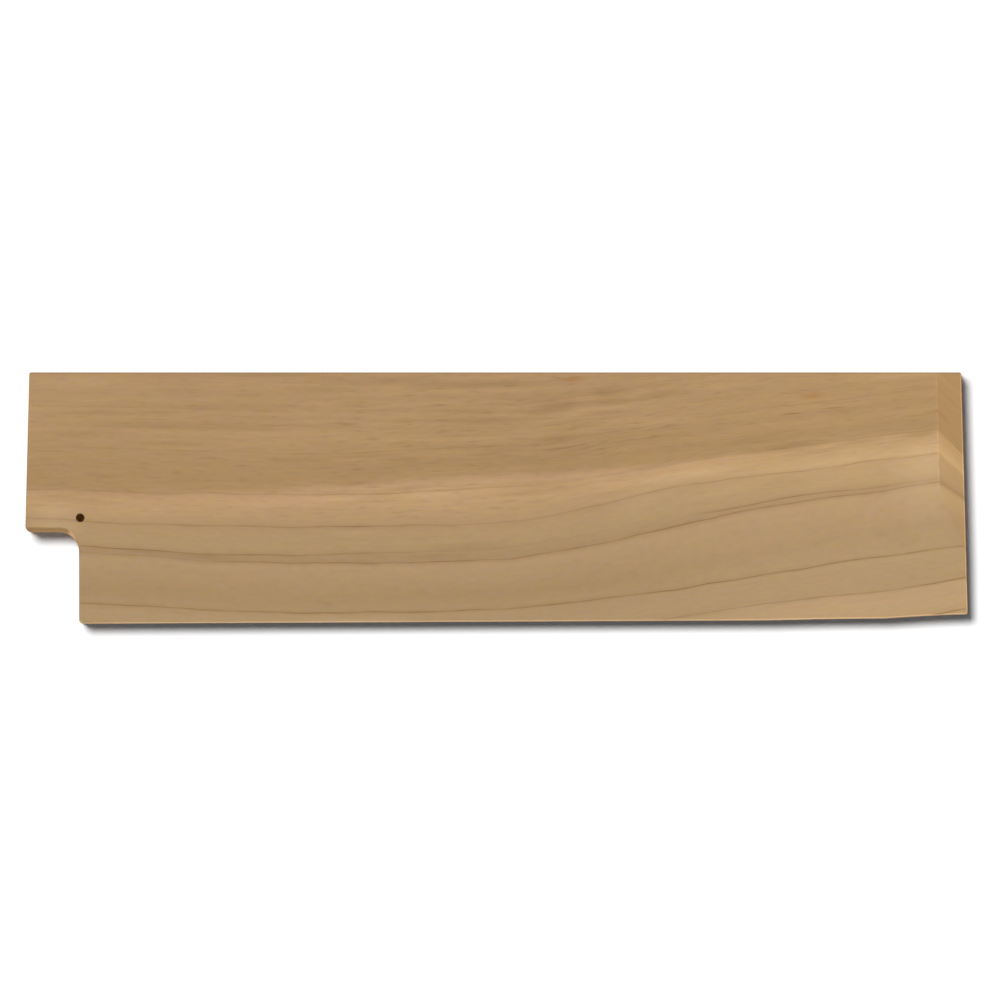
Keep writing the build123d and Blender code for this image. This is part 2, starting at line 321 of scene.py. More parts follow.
def count_rings(tree, wood, along, height):
    """Counts rings from the boundary line towards the edge side.

    Returns the ring, the millimetres above the boundary line, the rings below it, and the courses
    of the growth lines and of the strand.
    """
    level = add_node(tree, "Math", [height, 1 / COURSE_SPAN_MM, 0.5], operation="MULTIPLY_ADD")
    courses = []
    for line in (*GROWTH_LINES.values(), STRAND):
        points = [(along_share(px), h / COURSE_SPAN_MM + 0.5) for px, h in line["course"]]
        courses.append(add_node(tree, "FloatCurve", {"Value": along}, points))
    *lines, strand = courses
    above = add_node(tree, "Math", [level, lines[0]], operation="SUBTRACT")
    above = add_node(tree, "Math", [above, 0.0], operation="MAXIMUM")
    above = add_node(tree, "Math", [above, COURSE_SPAN_MM], operation="MULTIPLY")
    rings = 0.0
    for upper, lower in zip(lines, lines[1:]):
        step = add_node(tree, "MapRange", [level, upper, lower])
        rings = add_node(tree, "Math", [rings, step], operation="ADD")
    under = add_node(tree, "Math", [lines[-1], level], operation="SUBTRACT")
    under = add_node(tree, "Math", [under, 0.0], operation="MAXIMUM")
    under = [under, COURSE_SPAN_MM / wood.ring_below, rings]
    rings = add_node(tree, "Math", under, operation="MULTIPLY_ADD")
    count = add_node(tree, "Math", [above, -1 / wood.ring_above, rings], operation="MULTIPLY_ADD")
    ring = add_node(tree, "Math", [count, *reversed(RING_COUNT_RANGE)], operation="WRAP")
    return ring, above, rings, lines, strand


def grain_flow(tree, wood, x, z, boundary, above, rings):
    """Gives places in the grain, which runs with the lines, and straighter towards the spine."""
    fade = add_node(tree, "MapRange", [above, 0.0, FOLLOW_FADE_MM, 0.0, 1 - SPINE_FOLLOW])
    line_mm = [boundary, COURSE_SPAN_MM, -COURSE_SPAN_MM / 2]
    line_mm = add_node(tree, "Math", line_mm, operation="MULTIPLY_ADD")
    across = add_node(tree, "Math", [fade, line_mm, above], operation="MULTIPLY_ADD")
    across = add_node(tree, "Math", [rings, -wood.ring_below, across], operation="MULTIPLY_ADD")
    return add_node(tree, "CombineXYZ", [x, across, z])


def grain_noise(tree, flow, part):
    """Adds the noise of one part of the grain, drawn out along it."""
    *size, detail = GRAIN[part]
    size = add_node(tree, "VectorMath", [flow, size], operation="DIVIDE")
    inputs = {"Vector": size, "Scale": 1.0, "Detail": detail, "Roughness": GRAIN_ROUGHNESS}
    return add_node(tree, "TexNoise", inputs)


def ring_colour(tree, wood, x, along, ring):
    """Colours the rings, paler towards the tip; the pale wood reaches over the boundary line.

    Also returns the ring that is shown, as a share of those counted.
    """
    reach = [(along_share(px), mm_up / COURSE_SPAN_MM) for px, mm_up in PALE_REACH]
    reach = add_node(tree, "FloatCurve", {"Value": along}, reach)
    negative = add_node(tree, "Math", [ring, 0.0], operation="MINIMUM")
    lifted = [reach, COURSE_SPAN_MM / wood.ring_above, negative]
    lifted = add_node(tree, "Math", lifted, operation="MULTIPLY_ADD")
    shown = add_node(tree, "Math", [ring, lifted], operation="MAXIMUM")
    shown = add_node(tree, "MapRange", [shown, *RING_COUNT_RANGE])
    ends = []
    for colours in (RINGS_MOUTH, RINGS_TIP):
        stops = [(ring_share(number), linear(colour)) for number, colour in colours]
        ends.append(add_node(tree, "ValToRGB", [shown], stops))
    tip_shade = [x, wood.tip_shade_start / MM, wood.tip_shade_end / MM]
    tip_shade = add_node(tree, "MapRange", tip_shade, interpolation_type="SMOOTHSTEP")
    mixed = {"Factor": tip_shade, "A": ends[0], "B": ends[1]}
    return shown, add_node(tree, "Mix", mixed, data_type="RGBA")


def line_darkness(tree, wood, along, ring, lines, strand, flow):
    """Gives the darkness of the growth lines, which are thin, and come and go on their way."""
    strand_ring = add_node(tree, "MapRange", [strand, lines[1], lines[2], 1.0, 2.0])
    drawn = list(zip(range(len(lines)), LINE_RING_WIDTHS, GROWTH_LINES.values()))
    darkness = 0.0
    for number, width, line in (*drawn, (strand_ring, LINE_RING_WIDTHS[1], STRAND)):
        strength = [(along_share(px), dark) for px, dark in line["darkness"]]
        strength = add_node(tree, "FloatCurve", {"Value": along}, strength)
        off = add_node(tree, "Math", [ring, number], operation="SUBTRACT")
        off = add_node(tree, "Math", [off], operation="ABSOLUTE")
        half = wood.line_half_width / MM / width
        core = add_node(tree, "MapRange", [off, 0.0, half, strength, 0.0])
        halo = add_node(tree, "Math", [strength, wood.halo_share], operation="MULTIPLY")
        halo = add_node(tree, "MapRange", [off, 0.0, half * wood.halo_reach, halo, 0.0])
        core = add_node(tree, "Math", [core, halo], operation="MAXIMUM")
        darkness = add_node(tree, "Math", [darkness, core], operation="MAXIMUM")
    for number, strength in OTHER_LINES:
        off = add_node(tree, "Math", [ring, number], operation="SUBTRACT")
        off = add_node(tree, "Math", [off], operation="ABSOLUTE")
        half = wood.line_half_width / MM / wood.ring_below
        off = add_node(tree, "MapRange", [off, 0.0, half, strength, 0.0])
        darkness = add_node(tree, "Math", [darkness, off], operation="MAXIMUM")
    patchy = [grain_noise(tree, flow, "line patches"), *NOISE_SPAN, *LINE_PATCHES]
    patchy = add_node(tree, "MapRange", patchy)
    return add_node(tree, "Math", [darkness, patchy], operation="MULTIPLY", use_clamp=True)


def mark_face(tree, flow, colour, marks, tint):
    """Tints marks of the front face, which are soft ovals drawn out along the grain."""
    amount = 0.0
    for px, py, half_length, half_width, strength in marks:
        centre = (px, flow_height(px, py), CAD_HIGH.z / MM)
        oval = add_node(tree, "VectorMath", [flow, centre], operation="SUBTRACT")
        halves = (half_length, half_width, CAD_HIGH.z / MM)
        oval = add_node(tree, "VectorMath", [oval, halves], operation="DIVIDE")
        oval = add_node(tree, "VectorMath", [oval], operation="LENGTH").outputs["Value"]
        oval = add_node(tree, "MapRange", [oval, MARK_CORE, 1.0, strength, 0.0])
        amount = add_node(tree, "Math", [amount, oval], operation="MAXIMUM")
    marked = {"Factor": amount, "A": colour, "B": (*tint, 1.0)}
    return add_node(tree, "Mix", marked, data_type="RGBA", blend_type="MULTIPLY")


def fine_grain(tree, wood, flow, along, shown, on_bevel):
    """Gives the shade of the fine grain, and its weave, which the relief follows.

    Dashes and streaks are livelier near the heart, and the plane leaves them faint on the bevel.
    """
    lively = [(ring_share(number), level) for number, level in LIVELINESS]
    lively = add_node(tree, "FloatCurve", {"Value": shown}, lively)
    here = [(along_share(px), level) for px, level in LIVELY_ALONG]
    here = add_node(tree, "FloatCurve", {"Value": along}, here)
    lively = add_node(tree, "Math", [lively, here], operation="MULTIPLY")
    planed = add_node(tree, "MapRange", [on_bevel, 0.0, 1.0, 1.0, wood.bevel_liveliness])
    lively = add_node(tree, "Math", [lively, planed], operation="MULTIPLY")

    # Dashes are few and sharp, because their noise is squared, and the pale ones stay faint
    weave = grain_noise(tree, flow, "weave")
    dash = grain_noise(tree, flow, "dashes")
    dash = add_node(tree, "Math", [dash, 0.5], operation="SUBTRACT")
    size = add_node(tree, "Math", [dash], operation="ABSOLUTE")
    dash = add_node(tree, "Math", [dash, size], operation="MULTIPLY")
    dash = add_node(tree, "Math", [dash, wood.pale_dash_limit], operation="MINIMUM")
    extra = add_node(tree, "Math", [dash, wood.dash_strength, 0.0], operation="MULTIPLY_ADD")
    for part, strength in (
        ("streaks", wood.streak_strength),
        ("blotches", wood.blotch_strength),
        ("threads", wood.thread_strength),
    ):
        noise = grain_noise(tree, flow, part)
        noise = add_node(tree, "Math", [noise, 0.5], operation="SUBTRACT")
        extra = add_node(tree, "Math", [noise, strength, extra], operation="MULTIPLY_ADD")
    shade = [weave, wood.weave_strength, 1 - wood.weave_strength / 2]
    shade = add_node(tree, "Math", shade, operation="MULTIPLY_ADD")
    return add_node(tree, "Math", [extra, lively, shade], operation="MULTIPLY_ADD"), weave


def vary_hue(tree, wood, flow, colour):
    """Leans broad patches to yellow or to pink, and single fibres to grey or to yellow."""
    hue = add_node(tree, "MapRange", [grain_noise(tree, flow, "hues"), *NOISE_SPAN])
    hue = {"Factor": hue, "A": (*wood.warm_tint, 1.0), "B": (*wood.cool_tint, 1.0)}
    hue = add_node(tree, "Mix", hue, data_type="RGBA")
    hued = {"Factor": 1.0, "A": colour, "B": hue}
    colour = add_node(tree, "Mix", hued, data_type="RGBA", blend_type="MULTIPLY")
    fibre = grain_noise(tree, flow, "fibres").outputs["Color"]
    middle = [1 - share / 2 for share in wood.fibre_tints]
    fibre = [fibre, wood.fibre_tints, middle]
    fibre = add_node(tree, "VectorMath", fibre, operation="MULTIPLY_ADD")
    return add_node(tree, "VectorMath", [colour, fibre], operation="MULTIPLY")


def cut_tints(tree, wood, mm, joint, endwards):
    """Finds end grain, the fine pale rays across its rings, and the rice glue at the joint."""
    cut_square = add_node(tree, "MapRange", [endwards, *SQUARE_CUT])
    square = {"Vector": mm, "Angle": -math.atan(1 / wood.ring_slope)}
    square = add_node(tree, "VectorRotate", square, rotation_type="X_AXIS")
    square = add_node(tree, "VectorMath", [square, wood.ray_size], operation="DIVIDE")
    rays = add_node(tree, "TexNoise", {"Vector": square, "Scale": 1.0, "Detail": 1.0})
    rays = add_node(tree, "MapRange", [rays, *RAY_SPAN])
    rays = add_node(tree, "Math", [rays, cut_square], operation="MULTIPLY")
    glue = add_node(tree, "Math", [joint], operation="ABSOLUTE")
    glue = add_node(tree, "MapRange", [glue, 0.0, wood.glue_line / MM, 1.0, 0.0])
    return [(cut_square, wood.end_grain_tint), (rays, wood.ray_tint), (glue, wood.glue_tint)]


def rim_tints(tree, wood, y, normal, facing):
    """Finds the spine side, the collar's eased edge and the sanded rims, each with its tint: painted
    shade on the spine side, the spine rims and the eased edge, and painted light on the other rims.
    """
    facing_x, facing_y, facing_up = facing
    # Painted shade darkens the spine side and its rim
    spine_side = add_node(tree, "MapRange", [facing_y, *SPINE_SIDE])
    flatwards = add_node(tree, "Math", [facing_up], operation="ABSOLUTE")
    # Painted light lifts the sanded rims, whose rounding the overhead key light leaves darker than
    # the flat faces
    rims = add_node(tree, "FloatCurve", {"Value": flatwards}, RIM_FACING)
    off_side = add_node(tree, "MapRange", [flatwards, *OFF_SIDE])
    # Painted light lifts the rims on the edge side and at the tip, which face away from the key
    # light
    worn = add_node(tree, "MapRange", [facing_y, *EDGE_RIM])
    tip_rim_light = add_node(tree, "MapRange", [facing_x, *TIP_RIM])
    worn = add_node(tree, "Math", [worn, tip_rim_light], operation="MAXIMUM")
    worn = add_node(tree, "Math", [worn, off_side], operation="MULTIPLY")
    # Painted shade darkens the rims along the spine
    spine_rim = add_node(tree, "MapRange", [facing_y, *SPINE_RIM])
    spine_rim = add_node(tree, "Math", [spine_rim, off_side], operation="MULTIPLY")
    # Painted shade darkens the eased edge under the collar, which faces away from the key light
    collar_foot = (CAD_HIGH.y - wood.collar_height) / MM
    easing = [y, *(collar_foot - depth_mm for depth_mm in EASED_DEPTHS_MM)]
    easing = add_node(tree, "MapRange", easing)
    under_collar = (0.0, -math.sqrt(0.5), math.sqrt(0.5))
    eased = add_node(tree, "VectorMath", [normal, under_collar], operation="DOT_PRODUCT")
    eased = add_node(tree, "MapRange", [eased.outputs["Value"], *NEARLY_ALL])
    eased = add_node(tree, "Math", [eased, easing], operation="MULTIPLY")
    return [
        (spine_side, wood.spine_shade_tint),
        (eased, wood.collar_shade_tint),
        (rims, wood.rim_light_tint),
        (spine_rim, wood.spine_rim_shade_tint),
        (worn, wood.edge_and_tip_rim_light_tint),
    ]


def bevel_tints(tree, wood, mm, place, below, shown, facing_up, on_bevel):
    """Finds the tip bevel's darker part below the second line, and the worn ridge at its foot."""
    x, y, _ = place
    deep = [(ring_share(number), share) for number, share in DEEP_RINGS]
    deep = add_node(tree, "FloatCurve", {"Value": shown}, deep)
    deep = add_node(tree, "Math", [deep, on_bevel], operation="MULTIPLY")
    foot = (CAD_HIGH.x - wood.bevel_width) / MM
    foot = [y, CAD_LOW.y / MM, CAD_HIGH.y / MM, foot, foot - wood.tip_lean / MM]
    foot = add_node(tree, "MapRange", foot)
    ridge = add_node(tree, "Math", [x, foot], operation="SUBTRACT")
    ridge = add_node(tree, "Math", [ridge], operation="ABSOLUTE")
    ridge = add_node(tree, "MapRange", [ridge, *RIDGE_HALF_WIDTHS_MM, 1.0, 0.0])
    spots = {"Vector": mm, "Scale": 1 / wood.wear_length, "Detail": 2.0}
    spots = add_node(tree, "TexNoise", spots)
    spots = add_node(tree, "MapRange", [spots, *WEAR_SPAN])
    ridge = add_node(tree, "Math", [ridge, spots], operation="MULTIPLY")
    for limit in ([below, 0.0, 1.0, 1.0, 0.0], [facing_up, *NEARLY_ALL]):
        limit = add_node(tree, "MapRange", limit)
        ridge = add_node(tree, "Math", [ridge, limit], operation="MULTIPLY")
    return [(on_bevel, wood.bevel_tint), (deep, wood.deep_bevel_tint), (ridge, wood.ridge_tint)]


def surface_relief(tree, wood, mm, weave, joint, facing_up):
    """Raises the fibres a little, and leaves the gouge's tracks on the pocket's floor and roof."""
    fibres = {"Strength": SANDED_BUMP, "Distance": wood.fibre_relief, "Height": weave}
    fibres = add_node(tree, "Bump", fibres)

    # The pocket's floor and roof are the faces whose normals look towards the joint
    inward = add_node(tree, "Math", [joint, facing_up], operation="MULTIPLY")
    carved = add_node(tree, "MapRange", [inward, *IN_POCKET])
    tracks = add_node(tree, "VectorMath", [mm, wood.track_size], operation="DIVIDE")
    tracks = add_node(tree, "TexVoronoi", {"Vector": tracks, "Scale": 1.0})
    tracks = add_node(tree, "Math", [tracks, carved], operation="MULTIPLY")
    tracks = {"Distance": wood.track_depth, "Height": tracks, "Normal": fibres}
    return add_node(tree, "Bump", {"Strength": TRACK_BUMP, **tracks})


def magnolia(name, kerf, streaks, flecks, pale_patches):
    """Bare magnolia, planed along the grain and fine sanded: pale, with thin dark growth lines.

    The pattern fills the block. kerf is the wood lost above this board, in millimetres, by which
    its rings are out of line with the other board's.
    """
    wood = bpy.context.scene.sheath_wood
    material, tree = new_material(name)
    metres = add_node(tree, "TexCoord").outputs["Object"]
    mm = add_node(tree, "VectorMath", {0: metres, "Scale": 1 / MM}, operation="SCALE")
    place = add_node(tree, "SeparateXYZ", [mm]).outputs
    x, y, z = place
    along = add_node(tree, "MapRange", [x, CAD_LOW.x / MM, CAD_HIGH.x / MM])

    below, height = ring_height(tree, wood, mm, place, kerf)
    ring, above, rings, lines, strand = count_rings(tree, wood, along, height)
    flow = grain_flow(tree, wood, x, z, lines[0], above, rings)
    shown, colour = ring_colour(tree, wood, x, along, ring)
    darkness = line_darkness(tree, wood, along, ring, lines, strand, flow)
    lined = {"Factor": darkness, "A": colour, "B": (*wood.line_colour, 1.0)}
    colour = add_node(tree, "Mix", lined, data_type="RGBA")
    kinds = (wood.streak_tint, wood.fleck_tint, wood.pale_tint)
    for marks, tint in zip((streaks, flecks, pale_patches), kinds):
        if marks:
            colour = mark_face(tree, flow, colour, marks, tint)

    # Where a face looks tells the tip bevel, the ends, the sides and the rims from the rest
    normal = add_node(tree, "NewGeometry").outputs["Normal"]
    facing = add_node(tree, "SeparateXYZ", [normal]).outputs
    endwards = add_node(tree, "Math", [facing["X"]], operation="ABSOLUTE")
    on_bevel = add_node(tree, "MapRange", [endwards, *ON_BEVEL])
    shade, weave = fine_grain(tree, wood, flow, along, shown, on_bevel)
    colour = add_node(tree, "VectorMath", {0: colour, "Scale": shade}, operation="SCALE")
    colour = vary_hue(tree, wood, flow, colour)

    # Each kind of face has its tint, among them painted shade and painted light on the spine, the
    # rims and the eased edge, and a curve can overshoot, so each mask is clamped
    joint = add_node(tree, "Math", [(CAD_LOW.z + CAD_HIGH.z) / 2 / MM, z], operation="SUBTRACT")
    for mask, tint in (
        *cut_tints(tree, wood, mm, joint, endwards),
        *rim_tints(tree, wood, y, normal, facing),
        *bevel_tints(tree, wood, mm, place, below, shown, facing["Z"], on_bevel),
    ):
        mask = add_node(tree, "MapRange", [mask])
        tinted = {"Factor": mask, "A": (1.0, 1.0, 1.0, 1.0), "B": (*tint, 1.0)}
        tinted = add_node(tree, "Mix", tinted, data_type="RGBA")
        colour = add_node(tree, "VectorMath", [colour, tinted], operation="MULTIPLY")

    relief = surface_relief(tree, wood, mm, weave, joint, facing["Z"])
    finish = {"Base Color": colour, "Normal": relief, **SANDED_FINISH}
    surface = add_node(tree, "BsdfPrincipled", finish)
    add_node(tree, "OutputMaterial", {"Surface": surface})
    return material


def smoked_bamboo():
    """Smoked bamboo, split and scraped: dark brown fibres, with dots where it is cut across."""
    peg = bpy.context.scene.sheath_peg
    material, tree = new_material("Smoked bamboo, split and scraped")
    metres = add_node(tree, "TexCoord").outputs["Object"]
    mm = add_node(tree, "VectorMath", {0: metres, "Scale": 1 / MM}, operation="SCALE")

    # Bundles of fibres run the length of the peg
    stretched = (peg.bundle_width, peg.bundle_width, peg.bundle_length)
    stretched = add_node(tree, "VectorMath", [mm, stretched], operation="DIVIDE")
    fibres = add_node(tree, "TexNoise", {"Vector": stretched, "Scale": 1.0, **BUNDLE_NOISE})
    shade = add_node(tree, "MapRange", [fibres, *BUNDLE_SPAN])
    sides = {"Factor": shade, "A": (*peg.dark_colour, 1.0), "B": (*peg.light_colour, 1.0)}
    sides = add_node(tree, "Mix", sides, data_type="RGBA")

    # The cut ends are darker, with the bundles as dots
    dots = add_node(tree, "TexVoronoi", {"Vector": mm, "Scale": 1 / peg.dot_spacing})
    dots = add_node(tree, "MapRange", [dots, *DOT_FADE])
    ends = {"Factor": dots, "A": (*peg.dot_colour, 1.0), "B": (*peg.end_colour, 1.0)}
    ends = add_node(tree, "Mix", ends, data_type="RGBA")
    normal = add_node(tree, "TexCoord").outputs["Normal"]
    facing = add_node(tree, "SeparateXYZ", [normal]).outputs["Z"]
    facing = add_node(tree, "Math", [facing], operation="ABSOLUTE")
    cut = add_node(tree, "MapRange", [facing, *PEG_END])
    colour = add_node(tree, "Mix", {"Factor": cut, "A": sides, "B": ends}, data_type="RGBA")

    bump = {"Strength": SCRAPED_BUMP, "Distance": peg.fibre_relief, "Height": fibres}
    bump = add_node(tree, "Bump", bump)
    finish = {"Base Color": colour, "Normal": bump, **SCRAPED_FINISH}
    surface = add_node(tree, "BsdfPrincipled", finish)
    add_node(tree, "OutputMaterial", {"Surface": surface})
    return material


def colour_setting(name, description, default):
    """Makes a setting that holds a colour or a tint."""
    return FloatVectorProperty(name=name, description=description, default=default, subtype="COLOR")


class SheathWood(bpy.types.PropertyGroup):
    """Sizes and colours of the boards' wood."""

    crease_mouth: FloatProperty(
        name="Crease at the mouth",
        description="Height of the crease between flat and thinned wood, at the mouth",
        default=CAD_HIGH.y - 29.0 * MM,
        unit="LENGTH",
    )
    crease_tip: FloatProperty(
        name="Crease at the tip",
        description="Height of the crease between flat and thinned wood, at the tip",
        default=CAD_HIGH.y - 24.5 * MM,
        unit="LENGTH",
    )
    thinning: FloatProperty(
        name="Thinning",
        description="Angle of the thinned half of the face",
        default=math.radians(5.2),
        subtype="ANGLE",
    )
    ring_slope: FloatProperty(
        name="Ring slope",
        description="Millimetres that a ring moves towards the edge for each millimetre of depth",
        default=4.5,
    )
    ring_above: FloatProperty(
        name="Ring width above",
        description="Ring width in millimetres on the spine side of the boundary line",
        default=8.0,
    )
    ring_below: FloatProperty(
        name="Ring width below",
        description="Ring width in millimetres below the last growth line",
        default=6.8,
    )
    kerf: FloatProperty(
        name="Kerf",
        description="Millimetres by which the back board's rings are out of line with the front's",
        default=9.0,
    )
    sway: FloatProperty(
        name="Sway", description="Millimetres that a ring strays from its course", default=0.3
    )
    sway_length: FloatProperty(
        name="Sway length", description="Millimetres along the grain from sway to sway", default=14.0
    )
    sway_width: FloatProperty(
        name="Sway width", description="Millimetres across the grain from sway to sway", default=9.0
    )
    tip_shade_start: FloatProperty(
        name="Paler from",
        description="Place along the sheath where the wood starts to get paler",
        default=0.012,
        unit="LENGTH",
    )
    tip_shade_end: FloatProperty(
        name="Palest from",
        description="Place along the sheath from which the wood is palest",
        default=0.085,
        unit="LENGTH",
    )
    line_half_width: FloatProperty(
        name="Line half width",
        description="From the middle of a dark growth line to its edge",
        default=0.24 * MM,
        unit="LENGTH",
    )
    halo_reach: FloatProperty(
        name="Halo reach",
        description="Reach of the soft halo round a growth line, in half widths of the line",
        default=3.2,
    )
    halo_share: FloatProperty(
        name="Halo",
        description="Darkness of the soft halo against the line's own",
        default=0.22,
        subtype="FACTOR",
    )
    collar_height: FloatProperty(
        name="Collar height",
        description="From the spine down to the collar's eased edge",
        default=35.1 * MM,
        unit="LENGTH",
    )
    glue_line: FloatProperty(
        name="Glue line",
        description="Half the width of the joint that the glue darkens",
        default=0.16 * MM,
        unit="LENGTH",
    )
    ray_size: FloatVectorProperty(
        name="Ray size",
        description="Millimetres of a ray along the grain, along a ring and across the rings",
        default=(9.0, 0.5, 5.0),
    )
    track_size: FloatVectorProperty(
        name="Track size",
        description="Millimetres of a gouge track along the pocket, across it and in depth",
        default=(24.0, 4.5, 40.0),
    )
    track_depth: FloatProperty(
        name="Track depth",
        description="Depth of a gouge track in the pocket",
        default=0.5 * MM,
        unit="LENGTH",
    )
    bevel_width: FloatProperty(
        name="Bevel width", description="Width of the tip bevel", default=5.5 * MM, unit="LENGTH"
    )
    tip_lean: FloatProperty(
        name="Tip lean",
        description="How far the tip's end leans out towards the edge side",
        default=1.45 * MM,
        unit="LENGTH",
    )
    wear_length: FloatProperty(
        name="Wear length", description="Millimetres from one worn spot to the next", default=3.0
    )
    pale_dash_limit: FloatProperty(
        name="Pale dash limit",
        description="How far pale dashes rise, against dark ones",
        default=0.006,
    )
    weave_strength: FloatProperty(
        name="Weave", description="Strength of the soft weave that is everywhere", default=0.11
    )
    dash_strength: FloatProperty(
        name="Dashes", description="Strength of the short light and dark dashes", default=1.0
    )
    streak_strength: FloatProperty(
        name="Streaks", description="Strength of the long streaks near the heart", default=0.26
    )
    blotch_strength: FloatProperty(
        name="Blotches", description="Strength of the blotches near the heart", default=0.12
    )
    bevel_liveliness: FloatProperty(
        name="Bevel liveliness",
        description="How much of the fine grain shows on the tip bevel",
        default=0.3,
        subtype="FACTOR",
    )
    thread_strength: FloatProperty(
        name="Threads", description="Strength of the fine long fibres near the heart", default=0.09
    )
    fibre_relief: FloatProperty(
        name="Fibre relief",
        description="Height of the fibres that sanding leaves standing",
        default=0.05 * MM,
        unit="LENGTH",
    )
    line_colour: colour_setting("Line colour", "Colour of the dark growth lines", linear("7C5829"))
    streak_tint: colour_setting(
        "Streak tint", "Tint of the dark streaks near the heart", linear("E6E3DC")
    )
    fleck_tint: colour_setting(
        "Fleck tint", "Tint of the reddish flecks near the heart", linear("EED6B4")
    )
    pale_tint: colour_setting(
        "Pale tint", "Tint of the pale patches, over 1 where it is paler", (1.14, 1.17, 1.24)
    )
    # Painted light on the rounding of the sanded rims
    rim_light_tint: colour_setting(
        "Rim tint", "Tint of the sanded rims, which handling burnishes", (1.06, 1.05, 1.06)
    )
    # Painted shade along the rims of the spine
    spine_rim_shade_tint: colour_setting(
        "Spine rim tint",
        "Tint of the rims along the spine, which hands have darkened",
        (0.9, 0.91, 0.92),
    )
    ray_tint: colour_setting(
        "Ray tint",
        "Tint of the rays at a square cut, over 1 where they are paler",
        (1.14, 1.16, 1.2),
    )
    glue_tint: colour_setting("Glue tint", "Tint of the glue line", linear("D8D0C4"))
    fibre_tints: FloatVectorProperty(
        name="Fibre tints",
        description="How far single fibres differ in red, green and blue",
        default=(0.08, 0.06, 0.24),
    )
    # Painted light on the rims at the tip and on the edge side, which face away from the key light
    edge_and_tip_rim_light_tint: colour_setting(
        "Worn rim tint",
        "Tint of the rims that are worn palest, at the tip and the edge side",
        (1.6, 1.62, 1.7),
    )
    deep_bevel_tint: colour_setting(
        "Deep bevel tint", "Tint of the tip bevel below the second growth line", (0.9, 0.88, 0.88)
    )
    ridge_tint: colour_setting(
        "Ridge tint", "Tint of the worn ridge at the foot of the tip bevel", (1.14, 1.16, 1.22)
    )
    warm_tint: colour_setting(
        "Warm tint", "Tint of the patches that lean to yellow", linear("FFFFF8")
    )
    cool_tint: colour_setting(
        "Cool tint", "Tint of the patches that lean to pink", linear("FFFDFF")
    )
    bevel_tint: colour_setting(
        "Bevel tint",
        "Tint of faces planed slightly across the grain, over 1 where it is paler",
        (1.03, 1.0, 0.92),
    )
    end_grain_tint: colour_setting(
        "End grain tint", "Tint of faces cut across the grain", linear("DDC8AC")
    )
    # Painted shade on the spine side and its rim
    spine_shade_tint: colour_setting(
        "Spine tint", "Tint of the spine side and its rim, which are handled most", linear("F5F4EC")
    )
    # Painted shade on the eased edge under the collar, which faces away from the key light
    collar_shade_tint: colour_setting(
        "Collar tint", "Tint of the eased edge under the collar", (0.56, 0.52, 0.4)
    )


class SheathPeg(bpy.types.PropertyGroup):
    """Sizes and colours of the peg's bamboo."""

    bundle_width: FloatProperty(
        name="Bundle width", description="Width of a bundle of fibres in millimetres", default=0.22
    )
    bundle_length: FloatProperty(
        name="Bundle length", description="Length of a streak of fibres in millimetres", default=7.0
    )
    dot_spacing: FloatProperty(
        name="Dot spacing", description="Millimetres from bundle to bundle at a cut end", default=0.5
    )
    fibre_relief: FloatProperty(
        name="Fibre relief",
        description="Height of the fibres that scraping leaves standing",
        default=0.04 * MM,
        unit="LENGTH",
    )
    dark_colour: colour_setting("Dark fibres", "Colour of the darkest fibres", linear("3A2311"))
    light_colour: colour_setting("Light fibres", "Colour of the lightest fibres", linear("6E4A22"))
    dot_colour: colour_setting("Dots", "Colour of the bundles at a cut end", linear("160800"))
    end_colour: colour_setting(
        "Cut ends", "Colour between the bundles at a cut end", linear("3C2106")
    )


class SheathStage(bpy.types.PropertyGroup):
    """Camera, lights and ground."""

    picture_width: FloatProperty(
        name="Picture width",
        description="Width of the picture where it meets the sheath's upper face",
        default=0.21941,
        unit="LENGTH",
    )
    picture_x: FloatProperty(
        name="Picture centre along",
        description="Centre of the picture, from the sheath's middle towards the tip",
        default=0.00074,
        unit="LENGTH",
    )
    picture_y: FloatProperty(
        name="Picture centre up",
        description="Centre of the picture, from the sheath's middle towards the spine",
        default=-0.0004,
        unit="LENGTH",
    )
    lens: FloatProperty(
        name="Lens",
        description="Focal length in millimetres",
        default=800.0,
        subtype="DISTANCE_CAMERA",
    )
    key_share: FloatProperty(
        name="Key light",
        description="Share of the light on a level surface that comes from the key light",
        default=0.94,
        subtype="FACTOR",
    )
    key_tilt: FloatProperty(
        name="Key tilt",
        description="Angle of the key light from straight above",
        default=math.radians(11.8),
        subtype="ANGLE",
    )
    key_turn: FloatProperty(
        name="Key direction",
        description="Direction the key light comes from, counted from +X towards +Y",
        default=math.radians(132.5),
        subtype="ANGLE",
    )
    key_softness: FloatProperty(
        name="Key softness",
        description="Angle that the key light covers in the sky",
        default=math.radians(10.5),
        subtype="ANGLE",
    )
    paper_shade: FloatProperty(
        name="Paper shade",
        description="How much of the light the paper gives back to the sheath",
        default=0.86,
        subtype="FACTOR",
    )
    paper_glow: FloatProperty(
        name="Paper glow",
        description="Light added to the paper in the picture, to keep it white",
        default=0.025,
        subtype="FACTOR",
    )
    glow_colour: FloatVectorProperty(
        name="Glow colour",
        description="Colour of that light, against the warm light that the wood throws",
        default=(0.6, 1.24, 1.8),
    )


class SHEATH_OT_boards(bpy.types.Operator):
    """Gives both boards bare magnolia, cut from one block"""

    bl_idname = "sheath.boards"
    bl_label = "Finish the boards"

    def execute(self, context):
        kerf = context.scene.sheath_wood.kerf
        marks = {"front_half": (0.0, STREAKS, FLECKS, PALE_PATCHES), "back_half": (kerf, (), (), ())}
        for node, found in marks.items():
            material = magnolia(f"Magnolia, planed and sanded, {node}", *found)
            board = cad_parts[node]
            board.data.materials.clear()
            board.data.materials.append(material)
        return {"FINISHED"}


